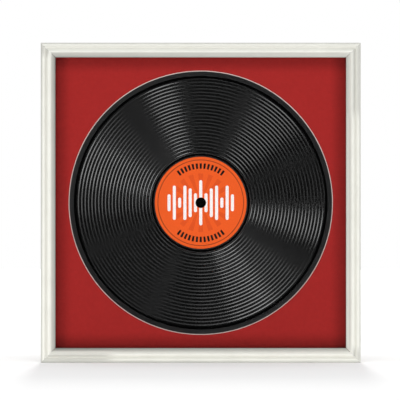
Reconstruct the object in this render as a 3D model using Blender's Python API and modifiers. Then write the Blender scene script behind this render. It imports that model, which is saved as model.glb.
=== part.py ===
"""A framed twelve-inch record: four mitred lengths of moulding round a pack of glazing, mat,
record carrier, record and backing, with turn buttons, ring hangers and bumpers on the back.

Metres, +Z up. The front faces -Y and the wall is the plane y = 0. The origin is on the wall,
behind the centre of the frame.
"""

import math

import bmesh
import bpy
from mathutils import Matrix

# Clearances
CONTACT_GAP = 0.0003
MITRE_GAP = 0.0002
CUT_OVERRUN = 0.002
WELD_DISTANCE = 0.000001

# Record
RECORD_DIAMETER = 0.3016
RECORD_THICKNESS = 0.0026
RECORD_WEB = 0.0012
RIM_WIDTH = 0.0066
RIM_GUTTER = 0.0024
EDGE_ROUND = 0.0004
RIDGE_COUNT = 22
RIDGE_HEIGHT = 0.00045
SPINDLE_HOLE_DIAMETER = 0.0073

# Paper labels, one on each side of the record
LABEL_DIAMETER = 0.1048
LABEL_HOLE_DIAMETER = 0.0115
LABEL_THICKNESS = 0.00025
LABEL_GAP = 0.0001
LABEL_GUTTER = 0.0028
LABEL_LAND = 0.0017

# Mat, with a round window cut at 45 degrees that overlaps the record's rim
WINDOW_OVERLAP = 0.0013
MAT_THICKNESS = 0.0014
MAT_BORDER = 0.0161

# Carrier board, which the record is sunk into
RECORD_SIDE_PLAY = 0.0004
RECORD_DEPTH_PLAY = 0.0004

# Glazing and backing
GLAZING_THICKNESS = 0.002
BACKING_THICKNESS = 0.003
PACK_PLAY = 0.0006
SHEET_BEVEL = 0.0003

# Moulding: its face runs from the outer edge to the sight edge, as shares of the moulding's
# width and of the depth of its lip, measured from the frontmost plane
MOULDING_WIDTH = 0.0166
REBATE_WIDTH = 0.005
LIP_DEPTH = 0.0094
FACE_SHARES = (
    (0.0, 0.34), (0.03, 0.22), (0.10, 0.13), (0.20, 0.085), (0.28, 0.12), (0.365, 0.21),
    (0.44, 0.12), (0.55, 0.0), (0.65, 0.06), (0.76, 0.27), (0.87, 0.46), (0.95, 0.54), (1.0, 0.62),
)
FACE_STEPS = 3

# V nails, driven into the back of each mitre
V_NAILS_PER_CORNER = 2
V_NAIL_LEG = 0.0065
V_NAIL_GAUGE = 0.0006
V_NAIL_HEIGHT = 0.008
V_NAIL_SINK = 0.0004

# Turn buttons, two on each side
BUTTON_SPACING = 0.2
BUTTON_WIDTH = 0.009
BUTTON_TAIL_WIDTH = 0.007
BUTTON_REACH = 0.018
BUTTON_THICKNESS = 0.001
BUTTON_CURL_LENGTH = 0.0035
BUTTON_CURL_RISE = 0.0012

# Pan head screws
SCREW_SHANK_DIAMETER = 0.0026
SCREW_LENGTH = 0.012
SCREW_POINT = 0.003
SCREW_HEAD_DIAMETER = 0.006
SCREW_HEAD_HEIGHT = 0.002
SCREW_HEAD_RIM = 0.0006
SCREW_CLEARANCE = 0.0003
RECESS_SPAN = 0.0034
RECESS_WIDTH = 0.0009
RECESS_TIP_WIDTH = 0.0007
RECESS_DEPTH = 0.0011

# Ring hangers: a folded strap that carries a wire ring
HANGER_DROP = 0.125
HANGER_EDGE_MARGIN = 0.0007
STRAP_WIDTH = 0.007
STRAP_GAUGE = 0.0007
STRAP_LENGTH = 0.022
STRAP_SCREW_INSET = 0.0055
RING_WIRE = 0.0018
RING_CORNER = 0.0014
RING_HEIGHT = 0.011
RING_SIDE_PLAY = 0.0003
RING_EYE_PLAY = 0.00025

# Bumpers, one near each corner
BUMPER_DIAMETER = 0.01
BUMPER_HEIGHT = 0.005
BUMPER_CHAMFER = 0.0006
BUMPER_INSET = 0.022

# Facets
ROUND_STEPS = 72
BUMPER_STEPS = 32
SCREW_STEPS = 20
DOME_STEPS = 4
END_STEPS = 12
WIRE_RESOLUTION = 3
QUARTER_STEPS = 4

# Places that follow from the sizes
record_radius = RECORD_DIAMETER / 2
window_radius = record_radius - WINDOW_OVERLAP
sight_half = window_radius + MAT_BORDER
outer_half = sight_half + MOULDING_WIDTH
rear_wall = MOULDING_WIDTH - REBATE_WIDTH
pack_half = outer_half - rear_wall - PACK_PLAY
rail_line = outer_half - rear_wall / 2
carrier_thickness = RECORD_THICKNESS + RECORD_DEPTH_PLAY

back_y = -(BUMPER_HEIGHT + CONTACT_GAP)
carrier_back_y = back_y - BACKING_THICKNESS - CONTACT_GAP
mat_back_y = carrier_back_y - carrier_thickness - CONTACT_GAP
glazing_back_y = mat_back_y - MAT_THICKNESS - CONTACT_GAP
lip_y = glazing_back_y - GLAZING_THICKNESS - CONTACT_GAP
moulding_depth = back_y - lip_y + LIP_DEPTH

eye_radius = RING_WIRE / 2 + RING_EYE_PLAY + STRAP_GAUGE
ring_width = STRAP_WIDTH + 2 * (RING_SIDE_PLAY + RING_CORNER)
ring_lean = math.asin((2 * STRAP_GAUGE + CONTACT_GAP + RING_WIRE / 2 - eye_radius) / RING_HEIGHT)
hanger_x = outer_half - HANGER_EDGE_MARGIN - (ring_width + RING_WIRE) / 2
hanger_z = outer_half - HANGER_DROP
strap_screw_drop = STRAP_LENGTH - STRAP_SCREW_INSET

# An outline drawn in x and y is extruded along z. FACING stands it up in the plane of the
# picture; SIDEWAYS turns its x to world y and its y to world z, extruded along world x.
FACING = Matrix.Rotation(math.radians(90), 4, "X")
SIDEWAYS = Matrix(((0, 0, 1, 0), (1, 0, 0, 0), (0, 1, 0, 0), (0, 0, 0, 1)))
TOWARDS_FRONT = (math.radians(90), 0, 0)
TOWARDS_WALL = (math.radians(-90), 0, 0)

SIDES = ("bottom", "left", "top", "right")
RAILS = ("bottom_rail", "left_stile", "top_rail", "right_stile")
CORNERS = ("bottom_left", "top_left", "top_right", "bottom_right")


def clear_scene():
    for obj in list(bpy.data.objects):
        bpy.data.objects.remove(obj, do_unlink=True)


def new_collection(name):
    collection = bpy.data.collections.new(name)
    bpy.context.scene.collection.children.link(collection)
    return collection


def material(name, colour, roughness, metallic=0.0, alpha=1.0):
    made = bpy.data.materials.new(name)
    made.use_nodes = True
    shader = made.node_tree.nodes["Principled BSDF"]
    shader.inputs["Base Color"].default_value = (*colour, 1.0)
    shader.inputs["Roughness"].default_value = roughness
    shader.inputs["Metallic"].default_value = metallic
    shader.inputs["Alpha"].default_value = alpha
    made.diffuse_color = (*colour, alpha)
    return made


def piece(name, mesh, finish, location=(0, 0, 0), rotation=(0, 0, 0), parent=None):
    """A named sub-part in the object's own collection."""
    obj = bpy.data.objects.new(name, mesh)
    obj.location = location
    obj.rotation_euler = rotation
    obj.parent = parent
    if mesh.materials:
        mesh.materials[0] = finish
    else:
        mesh.materials.append(finish)
    parts.objects.link(obj)
    return obj


def helper(name, mesh, location=(0, 0, 0), rotation=(0, 0, 0)):
    """A cutter, or another shape that is no part of the object."""
    obj = bpy.data.objects.new(name, mesh)
    obj.location = location
    obj.rotation_euler = rotation
    obj.hide_render = True
    obj.display_type = "WIRE"
    cutters.objects.link(obj)
    return obj


def add_boolean(obj, other, operation="DIFFERENCE"):
    modifier = obj.modifiers.new(other.name, "BOOLEAN")
    modifier.operation = operation
    modifier.solver = "EXACT"
    modifier.object = other


def evaluated_mesh(obj):
    """The object's mesh with its modifiers applied, welded where a curve's caps meet its sides."""
    bpy.context.view_layer.update()
    graph = bpy.context.evaluated_depsgraph_get()
    mesh = bpy.data.meshes.new_from_object(obj.evaluated_get(graph))
    shape = bmesh.new()
    shape.from_mesh(mesh)
    bmesh.ops.remove_doubles(shape, verts=shape.verts, dist=WELD_DISTANCE)
    shape.to_mesh(mesh)
    shape.free()
    return mesh


def smoothed(mesh, angle=35):
    mesh.shade_smooth()
    mesh.set_sharp_from_angle(angle=math.radians(angle))
    return mesh


def circle(radius, steps, centre=(0, 0)):
    turns = [2 * math.pi * step / steps for step in range(steps)]
    return [(centre[0] + radius * math.cos(t), centre[1] + radius * math.sin(t)) for t in turns]


def arc(centre, radius, start, end, steps):
    """Points on an arc between two angles in degrees, both ends included."""
    angles = [math.radians(start + (end - start) * step / steps) for step in range(steps + 1)]
    return [(centre[0] + radius * math.cos(a), centre[1] + radius * math.sin(a)) for a in angles]


def smooth_through(points, steps):
    """A Catmull-Rom curve through the points, with this many steps between neighbours."""
    padded = [points[0], *points, points[-1]]
    curve = [points[0]]
    for before, start, end, after in zip(padded, padded[1:], padded[2:], padded[3:]):
        for step in range(1, steps + 1):
            t = step / steps
            curve.append(tuple(
                (2 * b + (c - a) * t + (2 * a - 5 * b + 4 * c - d) * t**2
                 + (3 * b - a - 3 * c + d) * t**3) / 2
                for a, b, c, d in zip(before, start, end, after)
            ))
    return curve


def outline_mesh(outlines, thickness, turn=FACING):
    """A flat outline, with any further outlines as holes in it, extruded both ways."""
    flat = bpy.data.curves.new("outline", "CURVE")
    flat.dimensions = "2D"
    flat.fill_mode = "BOTH"
    flat.extrude = thickness / 2
    for outline in outlines:
        spline = flat.splines.new("POLY")
        spline.points.add(len(outline) - 1)
        for point, (x, y) in zip(spline.points, outline):
            point.co = (x, y, 0, 1)
        spline.use_cyclic_u = True
    obj = bpy.data.objects.new("outline", flat)
    cutters.objects.link(obj)
    mesh = evaluated_mesh(obj)
    bpy.data.objects.remove(obj, do_unlink=True)
    mesh.transform(turn)
    return mesh


def turned_mesh(profile, steps):
    """A profile of (radius, height), clockwise, turned about z. From the axis it is left open."""
    edges = [(i, i + 1) for i in range(len(profile) - 1)]
    if profile[0][0] > 0:
        edges.append((len(profile) - 1, 0))
    mesh = bpy.data.meshes.new("turned")
    mesh.from_pydata([(radius, 0, height) for radius, height in profile], edges, [])
    obj = helper("turned", mesh)
    screw = obj.modifiers.new("turn", "SCREW")
    screw.axis = "Z"
    screw.steps = steps
    screw.render_steps = steps
    screw.use_merge_vertices = True
    screw.merge_threshold = WELD_DISTANCE
    made = evaluated_mesh(obj)
    bpy.data.objects.remove(obj, do_unlink=True)
    return smoothed(made)


def box_mesh(width, depth, height):
    shape = bmesh.new()
    bmesh.ops.create_cube(shape, size=1)
    bmesh.ops.scale(shape, vec=(width, depth, height), verts=shape.verts)
    mesh = bpy.data.meshes.new("box")
    shape.to_mesh(mesh)
    shape.free()
    return mesh


def cone_mesh(bottom_radius, top_radius, height, steps):
    shape = bmesh.new()
    bmesh.ops.create_cone(
        shape, cap_ends=True, segments=steps, radius1=bottom_radius, radius2=top_radius, depth=height
    )
    mesh = bpy.data.meshes.new("cone")
    shape.to_mesh(mesh)
    shape.free()
    return mesh


def combined_mesh(first, second, operation, holes=()):
    """One mesh from two by a Boolean, less any hole cutters."""
    obj = helper("combined", first)
    other = helper("other", second)
    add_boolean(obj, other, operation)
    for hole in holes:
        add_boolean(obj, hole)
    mesh = evaluated_mesh(obj)
    bpy.data.objects.remove(obj, do_unlink=True)
    bpy.data.objects.remove(other, do_unlink=True)
    for hole in holes:
        bpy.data.objects.remove(hole, do_unlink=True)
    return smoothed(mesh)


def quarter_turn(side, x, z):
    """A place on the bottom side, carried round to another side, with the turn about y."""
    angle = math.radians(90) * side
    cos, sin = round(math.cos(angle)), round(math.sin(angle))
    return x * cos + z * sin, z * cos - x * sin, (0, angle, 0)


# Moulding

def rail_mesh():
    """The bottom rail about the frame's centre: the moulding's section, mitred at both ends."""
    face = [
        (width_share * MOULDING_WIDTH, moulding_depth - depth_share * LIP_DEPTH)
        for width_share, depth_share in FACE_SHARES
    ]
    lip_back = moulding_depth - LIP_DEPTH
    section = [
        (0, 0), *smooth_through(face, FACE_STEPS),
        (MOULDING_WIDTH, lip_back), (rear_wall, lip_back), (rear_wall, 0),
    ]
    outline = [(-height, inward - outer_half) for inward, height in section]
    mesh = outline_mesh([outline], 2 * (outer_half + CUT_OVERRUN), SIDEWAYS)
    shape = bmesh.new()
    shape.from_mesh(mesh)
    for end in (-1, 1):
        everything = [*shape.verts, *shape.edges, *shape.faces]
        bmesh.ops.bisect_plane(
            shape, geom=everything, dist=WELD_DISTANCE,
            plane_co=(0, 0, -MITRE_GAP / math.sqrt(2)), plane_no=(end, 0, 1), clear_outer=True,
        )
        rim = [edge for edge in shape.edges if edge.is_boundary]
        bmesh.ops.holes_fill(shape, edges=rim, sides=0)
    bmesh.ops.recalc_face_normals(shape, faces=shape.faces)
    shape.to_mesh(mesh)
    shape.free()
    return smoothed(mesh)


def v_nail_outline(extra=0.0):
    half = V_NAIL_GAUGE / 2 + extra
    leg = V_NAIL_LEG + extra
    return [(-half, -half), (leg, -half), (leg, half), (half, half), (half, leg), (-half, leg)]


def add_v_nails():
    """The nails and, for each, the slot cutter that makes room for it in both rails."""
    nail = outline_mesh([v_nail_outline()], V_NAIL_HEIGHT)
    slot_height = V_NAIL_SINK + V_NAIL_HEIGHT + CONTACT_GAP + CUT_OVERRUN
    slot = outline_mesh([v_nail_outline(CONTACT_GAP)], slot_height)
    slot_cutters = []
    for side, corner in enumerate(CORNERS):
        for count in range(V_NAILS_PER_CORNER):
            apex = outer_half - rear_wall * (count + 1) / (V_NAILS_PER_CORNER + 1)
            x, z, turn = quarter_turn(side, -apex, -apex)
            nail_y = back_y - V_NAIL_SINK - V_NAIL_HEIGHT / 2
            slot_y = back_y + CUT_OVERRUN - slot_height / 2
            piece(f"v_nail_{corner}_{count + 1}", nail, steel, (x, nail_y, z), turn)
            slot_cutters.append(helper(f"slot_{corner}_{count + 1}", slot, (x, slot_y, z), turn))
    return slot_cutters


def add_rails(rail_cutters):
    """The four lengths of moulding. Each is cut by the cutters that reach it."""
    blank = rail_mesh()
    for side, name in enumerate(RAILS):
        turn = (0, math.radians(90) * side, 0)
        rail = piece(name, blank.copy(), painted_wood, (0, back_y, 0), turn)
        for cutter in rail_cutters:
            x, z, _ = quarter_turn(-side, cutter.location.x, cutter.location.z)
            if -z > abs(x) - V_NAIL_LEG:
                add_boolean(rail, cutter)


# Pack of sheets behind the lip

def add_sheet(name, thickness, sheet_back_y, finish):
    mesh = box_mesh(2 * pack_half, thickness, 2 * pack_half)
    sheet = piece(name, mesh, finish, (0, sheet_back_y - thickness / 2, 0))
    bevel = sheet.modifiers.new("edges", "BEVEL")
    bevel.width = SHEET_BEVEL
    bevel.segments = 1
    return sheet


def add_mat():
    """A sheet with a round window that opens towards the front at 45 degrees."""
    mesh = box_mesh(2 * pack_half, MAT_THICKNESS, 2 * pack_half)
    mat_y = mat_back_y - MAT_THICKNESS / 2
    mat = piece("mat_board", mesh, red_card, (0, mat_y, 0))
    small = window_radius - CUT_OVERRUN
    large = window_radius + MAT_THICKNESS + CUT_OVERRUN
    window = cone_mesh(small, large, MAT_THICKNESS + 2 * CUT_OVERRUN, ROUND_STEPS)
    add_boolean(mat, helper("window", window, (0, mat_y, 0), TOWARDS_FRONT))


def add_carrier():
    """The board that the record is sunk into, with a round seat right through it."""
    half = pack_half
    square = [(-half, -half), (half, -half), (half, half), (-half, half)]
    seat = circle(record_radius + RECORD_SIDE_PLAY, ROUND_STEPS)
    mesh = outline_mesh([square, seat], carrier_thickness)
    piece("record_carrier", mesh, grey_board, (0, carrier_back_y - carrier_thickness / 2, 0))


# Record

def record_profile():
    """The record's section from its hole outwards along the front and back along the rear."""
    rim = RECORD_THICKNESS / 2
    floor = RECORD_WEB / 2
    seat = rim - LABEL_THICKNESS - LABEL_GAP
    hole = SPINDLE_HOLE_DIAMETER / 2
    label = LABEL_DIAMETER / 2
    gutter = label + LABEL_GUTTER
    first = gutter + LABEL_LAND
    rim_start = record_radius - RIM_WIDTH
    last = rim_start - RIM_GUTTER
    pitch = (last - first) / RIDGE_COUNT
    land = floor + RIDGE_HEIGHT / 2
    front = [(hole, seat), (label, seat), (label, floor), (gutter, floor), (gutter, land)]
    for ridge in range(RIDGE_COUNT):
        start = first + ridge * pitch
        front += [(start, floor), (start + pitch / 2, floor + RIDGE_HEIGHT)]
    front += [
        (last, floor), (rim_start, floor), (rim_start, rim - EDGE_ROUND),
        (rim_start + EDGE_ROUND, rim), (record_radius - EDGE_ROUND, rim),
        (record_radius, rim - EDGE_ROUND),
    ]
    rear = [
        (record_radius, EDGE_ROUND - rim), (record_radius - EDGE_ROUND, -rim),
        (rim_start, -rim), (rim_start, -land), (gutter, -land), (gutter, -floor),
        (label, -floor), (label, -seat), (hole, -seat),
    ]
    return front + rear


def add_record():
    """The disc and the paper label on each of its sides, with their faces level with the rim."""
    centre_y = mat_back_y + CONTACT_GAP + RECORD_THICKNESS / 2
    disc = turned_mesh(record_profile(), ROUND_STEPS)
    piece("record", disc, black_vinyl, (0, centre_y, 0), TOWARDS_FRONT)
    half = LABEL_THICKNESS / 2
    outer, inner = LABEL_DIAMETER / 2, LABEL_HOLE_DIAMETER / 2
    paper = [(inner, half), (outer, half), (outer, -half), (inner, -half)]
    label = turned_mesh(paper, ROUND_STEPS)
    reach = RECORD_THICKNESS / 2 - half
    piece("record_label_front", label, orange_paper, (0, centre_y - reach, 0), TOWARDS_FRONT)
    piece("record_label_back", label, orange_paper, (0, centre_y + reach, 0), TOWARDS_FRONT)


# Screws

def screw_mesh():
    """A pan head screw with a cross recess. Its head stands on z = 0 and faces up."""
    head, shank = SCREW_HEAD_DIAMETER / 2, SCREW_SHANK_DIAMETER / 2
    dome_height = SCREW_HEAD_HEIGHT - SCREW_HEAD_RIM
    dome = []
    for step in range(DOME_STEPS + 1):
        angle = math.pi / 2 * step / DOME_STEPS
        dome.append((head * math.sin(angle), SCREW_HEAD_RIM + dome_height * math.cos(angle)))
    profile = [
        *dome, (head, 0), (shank, 0), (shank, SCREW_POINT - SCREW_LENGTH), (0, -SCREW_LENGTH)
    ]
    body = turned_mesh(profile, SCREW_STEPS)
    arm, half, tip = RECESS_SPAN / 2, RECESS_WIDTH / 2, RECESS_TIP_WIDTH / 2
    cross = [
        (-arm, -tip), (-half, -half), (-tip, -arm), (tip, -arm), (half, -half), (arm, -tip),
        (arm, tip), (half, half), (tip, arm), (-tip, arm), (-half, half), (-arm, tip),
    ]
    recess = outline_mesh([cross], 2 * RECESS_DEPTH, Matrix.Translation((0, 0, SCREW_HEAD_HEIGHT)))
    return combined_mesh(body, recess, "DIFFERENCE")


def add_screw(name, mesh, x, z, seat_y):
    """A screw whose head sits at this depth, and the cutter for its pilot hole."""
    piece(name, mesh, steel, (x, seat_y, z), TOWARDS_WALL)
    radius = SCREW_SHANK_DIAMETER / 2 + SCREW_CLEARANCE
    end_y = seat_y - SCREW_LENGTH - CONTACT_GAP
    depth = back_y + CUT_OVERRUN - end_y
    pilot = cone_mesh(radius, radius, depth, SCREW_STEPS)
    return helper(f"pilot_{name}", pilot, (x, end_y + depth / 2, z), TOWARDS_WALL)


# Turn buttons

def tapered_outline(head_radius, tail_radius, distance):
    """Two round ends joined by straight sides: the head at the origin, the tail up the y axis."""
    lean = math.degrees(math.asin((head_radius - tail_radius) / distance))
    head = arc((0, 0), head_radius, 180 - lean, 360 + lean, END_STEPS)
    tail = arc((0, distance), tail_radius, lean, 180 - lean, END_STEPS)
    return head + tail


def button_mesh():
    """A strip that points up from its screw hole, with its tip curled away from the backing."""
    head, tail = BUTTON_WIDTH / 2, BUTTON_TAIL_WIDTH / 2
    bend = BUTTON_REACH - BUTTON_CURL_LENGTH
    top = BUTTON_THICKNESS
    side = [
        (0, -head - CUT_OVERRUN), (top, -head - CUT_OVERRUN), (top, bend),
        (top + BUTTON_CURL_RISE, BUTTON_REACH), (BUTTON_CURL_RISE, BUTTON_REACH), (0, bend),
    ]
    strip = outline_mesh([side], BUTTON_WIDTH + CUT_OVERRUN, SIDEWAYS)
    tall = 2 * (BUTTON_THICKNESS + BUTTON_CURL_RISE + CUT_OVERRUN)
    plan = outline_mesh([tapered_outline(head, tail, BUTTON_REACH - tail)], tall)
    radius = SCREW_SHANK_DIAMETER / 2 + SCREW_CLEARANCE
    hole = helper("button_hole", cone_mesh(radius, radius, tall, SCREW_STEPS), rotation=TOWARDS_WALL)
    return combined_mesh(strip, plan, "INTERSECT", [hole])


def add_turn_buttons(screw):
    """Two buttons on each side, each turning on its own screw."""
    button = button_mesh()
    button_y = back_y + CONTACT_GAP
    seat_y = button_y + BUTTON_THICKNESS + CONTACT_GAP
    pilots = []
    for side, side_name in enumerate(SIDES):
        for count, along in enumerate((-BUTTON_SPACING / 2, BUTTON_SPACING / 2)):
            x, z, turn = quarter_turn(side, along, -rail_line)
            name = f"{side_name}_{count + 1}"
            piece(f"turn_button_{name}", button, plated_steel, (x, button_y, z), turn)
            pilots.append(add_screw(f"button_screw_{name}", screw, x, z, seat_y))
    return pilots


# Ring hangers

def strap_mesh():
    """A strip folded round the ring's bar, flat on y = 0, with the bar's axis above z = 0."""
    plate = 2 * STRAP_GAUGE
    fold_end = -90 - math.degrees(math.asin(1 - plate / eye_radius))
    fold = arc((eye_radius, 0), eye_radius, 180, fold_end, 2 * END_STEPS)
    outline = [(0, -STRAP_LENGTH), *fold, (plate, -STRAP_LENGTH)]
    bore = circle(RING_WIRE / 2 + RING_EYE_PLAY, SCREW_STEPS, (eye_radius, 0))
    strip = outline_mesh([outline, bore], STRAP_WIDTH, SIDEWAYS)
    half = STRAP_WIDTH / 2
    top = eye_radius + CUT_OVERRUN
    reach = half + SCREW_CLEARANCE
    foot = arc((0, half - STRAP_LENGTH), reach, 180, 360, END_STEPS)
    plan = outline_mesh([[(-reach, top), *foot, (reach, top)]], 4 * eye_radius)
    radius = SCREW_SHANK_DIAMETER / 2 + SCREW_CLEARANCE
    drill = cone_mesh(radius, radius, 2 * eye_radius, SCREW_STEPS)
    hole = helper("strap_hole", drill, (0, 0, -strap_screw_drop), TOWARDS_WALL)
    return combined_mesh(strip, plan, "INTERSECT", [hole])


def ring_path():
    """The D of the wire's centre line, upside down: its bar on the x axis, then a round bow."""
    half = ring_width / 2
    bar = half - RING_CORNER
    shoulder = RING_HEIGHT - half
    return [
        *arc((bar, RING_CORNER), RING_CORNER, -90, 0, QUARTER_STEPS),
        *arc((0, shoulder), half, 0, 180, 4 * QUARTER_STEPS),
        *arc((-bar, RING_CORNER), RING_CORNER, 180, 270, QUARTER_STEPS),
    ]


def add_ring(name, parent):
    wire = bpy.data.curves.new(name, "CURVE")
    wire.dimensions = "3D"
    wire.bevel_depth = RING_WIRE / 2
    wire.bevel_resolution = WIRE_RESOLUTION
    path = ring_path()
    spline = wire.splines.new("POLY")
    spline.points.add(len(path) - 1)
    for point, (x, z) in zip(spline.points, path):
        point.co = (x, 0, z, 1)
    spline.use_cyclic_u = True
    wire.materials.append(plated_steel)
    ring = bpy.data.objects.new(name, wire)
    ring.parent = parent
    parts.objects.link(ring)


def add_hangers(screw):
    """A hanger on each stile. Its ring hangs against the strap, from an empty on the bar's axis."""
    strap = strap_mesh()
    strap_y = back_y + CONTACT_GAP
    seat_y = strap_y + 2 * STRAP_GAUGE + CONTACT_GAP
    pilots = []
    for side_name, x in (("left", -hanger_x), ("right", hanger_x)):
        piece(f"hanger_strap_{side_name}", strap, plated_steel, (x, strap_y, hanger_z))
        pivot = bpy.data.objects.new(f"ring_pivot_{side_name}", None)
        pivot.location = (x, strap_y + eye_radius, hanger_z)
        pivot.rotation_euler = (math.pi + ring_lean, 0, 0)
        parts.objects.link(pivot)
        add_ring(f"hanger_ring_{side_name}", pivot)
        pilots.append(
            add_screw(f"hanger_screw_{side_name}", screw, x, hanger_z - strap_screw_drop, seat_y)
        )
    return pilots


# Bumpers

def add_bumpers():
    """Soft pads near the corners that hold the frame off the wall."""
    radius, edge = BUMPER_DIAMETER / 2, BUMPER_CHAMFER
    top = BUMPER_HEIGHT
    pad = turned_mesh(
        [(0, top), (radius - edge, top), (radius, top - edge), (radius, 0), (0, 0)], BUMPER_STEPS
    )
    along = outer_half - BUMPER_INSET
    for corner, x, z in (
        ("bottom_left", -along, -rail_line), ("bottom_right", along, -rail_line),
        ("top_left", -along, rail_line), ("top_right", along, rail_line),
    ):
        piece(f"bumper_{corner}", pad, soft_rubber, (x, -BUMPER_HEIGHT, z), TOWARDS_WALL)


clear_scene()
parts = new_collection("framed_record")
cutters = new_collection("cutters")

painted_wood = material("painted_wood", (0.86, 0.85, 0.79), 0.35)
red_card = material("red_card", (0.38, 0.02, 0.018), 0.85)
grey_board = material("grey_board", (0.45, 0.44, 0.41), 0.9)
clear_acrylic = material("clear_acrylic", (0.9, 0.94, 0.95), 0.05, alpha=0.12)
brown_board = material("brown_board", (0.36, 0.22, 0.12), 0.85)
black_vinyl = material("black_vinyl", (0.012, 0.012, 0.013), 0.25)
orange_paper = material("orange_paper", (0.83, 0.12, 0.018), 0.7)
plated_steel = material("plated_steel", (0.72, 0.66, 0.5), 0.3, 1.0)
steel = material("steel", (0.6, 0.6, 0.61), 0.32, 1.0)
soft_rubber = material("soft_rubber", (0.05, 0.05, 0.05), 0.8)

screw_blank = screw_mesh()
rail_cutters = add_v_nails()
rail_cutters += add_turn_buttons(screw_blank)
rail_cutters += add_hangers(screw_blank)
add_rails(rail_cutters)
add_sheet("glazing", GLAZING_THICKNESS, glazing_back_y, clear_acrylic)
add_mat()
add_carrier()
add_record()
add_sheet("backing_board", BACKING_THICKNESS, back_y, brown_board)
add_bumpers()
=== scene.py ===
"""A wall frame that shows a twelve-inch record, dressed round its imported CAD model.

Metres, +Z up. The front faces -Y, the wall is the plane y = 0, and the frame's lower edge
touches the floor. Angles among the named values are in degrees.
"""

import math

import bmesh
import bpy
from mathutils import Matrix, Vector


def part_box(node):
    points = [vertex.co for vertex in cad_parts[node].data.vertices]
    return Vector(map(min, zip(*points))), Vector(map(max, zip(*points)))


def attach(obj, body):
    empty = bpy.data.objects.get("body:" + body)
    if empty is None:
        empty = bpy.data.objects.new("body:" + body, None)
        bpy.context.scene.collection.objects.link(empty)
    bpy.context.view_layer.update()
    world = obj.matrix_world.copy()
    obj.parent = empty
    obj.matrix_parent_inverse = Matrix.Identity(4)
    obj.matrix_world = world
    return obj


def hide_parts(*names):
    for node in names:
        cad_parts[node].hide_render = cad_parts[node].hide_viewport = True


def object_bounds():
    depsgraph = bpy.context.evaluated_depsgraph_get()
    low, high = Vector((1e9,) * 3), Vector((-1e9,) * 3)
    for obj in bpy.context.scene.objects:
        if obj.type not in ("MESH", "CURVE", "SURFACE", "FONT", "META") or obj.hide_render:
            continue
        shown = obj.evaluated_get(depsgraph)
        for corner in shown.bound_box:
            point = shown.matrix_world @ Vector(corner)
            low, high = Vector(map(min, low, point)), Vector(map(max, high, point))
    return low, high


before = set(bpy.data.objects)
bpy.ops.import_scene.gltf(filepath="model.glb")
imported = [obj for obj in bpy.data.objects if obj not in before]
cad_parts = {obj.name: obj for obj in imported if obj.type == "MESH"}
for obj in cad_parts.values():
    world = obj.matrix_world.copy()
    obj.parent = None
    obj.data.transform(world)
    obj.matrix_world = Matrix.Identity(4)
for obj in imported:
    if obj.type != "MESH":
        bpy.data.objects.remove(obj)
cad_low, cad_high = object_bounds()

# Picture: 400 by 400 pixels, seen straight on
PIXELS = 400
PIXEL_SIZE = 0.00113825
CAMERA_DISTANCE = 6.0
SENSOR_WIDTH = 0.036
FRAME_CENTRE_PIXEL = (200.75, 202.75)
MM_PER_METRE = 1000

# Facets and edges
FINE_STEPS = 330
SHARP_ANGLE = 35
WELD_DISTANCE = 0.000001
FLAT_ANGLE = 0.5
BEVEL_SEGMENTS = 2
NORMAL_WEIGHT = 80
RAIL_EDGE = 0.00025
METAL_EDGE = 0.00012
BOARD_EDGE = 0.00015
SOFT_EDGE = 0.0003

# Record: levels are measured from its middle plane
RECORD_WEB = 0.0012
RIM_WIDTH = 0.0063
RIM_GUTTER = 0.0027
RIM_CROWN = 0.00018
EDGE_ROUND = 0.0003
RIDGE_COUNT = 22
RIDGE_HEIGHT = 0.00045
RIDGE_STEPS = 12
FIRST_CREST_SHARE = 0.18
CROWN_STEPS = 8
LAND_RISE = 0.00014
LABEL_COLLAR = 0.0015
LABEL_GUTTER = 0.0039
LABEL_LAND = 0.0006
SPINDLE_HOLE = 0.0073

# Mat: its red paper turns a little way over the cut, and the cut's foot has painted shade that
# leaves only a share of its lightness, from one distance to the next
MAT_EDGE = 0.00012
MAT_PAPER_TURN = 0.0002
CUT_SHADED_SPAN = (0.0001, 0.0005)
CUT_SHADED = 0.12

# Label: softened paper edge, and painted shade round its hole
LABEL_EDGE = 0.00008
HOLE_SHADE = 0.00035

# Label print, in shares of the label's radius and in degrees round it. Ticks and rays take
# shares of their own step, and INK is a strength. BAR_RHYTHM is in radians: the bars' heights
# swing by that much from one to the next.
PRINT_SOFT = 0.004
BAR_COUNT = 6
BAR_PITCH_SHARE = 0.115
BAR_WIDTH_SHARE = 0.066
BAR_MEAN_SHARE = 0.305
BAR_SWING_SHARE = 0.153
BAR_FALL_SHARE = 0.019
BAR_RHYTHM = 2.4
TICK_RING = (0.74, 0.86)
TICK_ARC = 38
TICK_COUNT = 60
TICK_SHARE = 0.56
TICK_SOFT = 0.15
TICK_ARC_SOFT = 0.2
RAY_RING = (0.22, 0.64)
RAY_COUNT = 18
RAY_SHARES = (0.24, 0.26)
RAY_INK = 0.8
HAIRLINE_RING = (0.925, 0.94)
HAIRLINE_INK = 0.75
FIBRE_INK = 0.22

# Moulding's groove between its two beads, as shares of its width, and the painted shade in it
GROOVE_SHARE = 0.365
GROOVE_SPREAD_SHARE = 0.085
GROOVE_SHADE_STRENGTH = (0.35, 0.75)
REBATE_SHARE = 0.70

# On the top and bottom rails the painted shade lies a little higher, but not beside the mat
GROOVE_SHIFT = 0.0009
GROOVE_SHIFT_FADE = (0.7, 0.95)

# Mitre line: distances from its middle to where it starts to fade and to where it has gone,
# and its strength
MITRE_SPAN = (0.0002, 0.0006)
MITRE_INK = 0.55

# Where paint gives way to bare wood: round the edge of the back, and behind the lip
PAINT_RAGGED = 0.0007
PAINT_WRAP = (0.0008, 0.0014)
REBATE_SOFT = 0.0002
LIP_PAINTED = (0.003, 0.0025)
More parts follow.
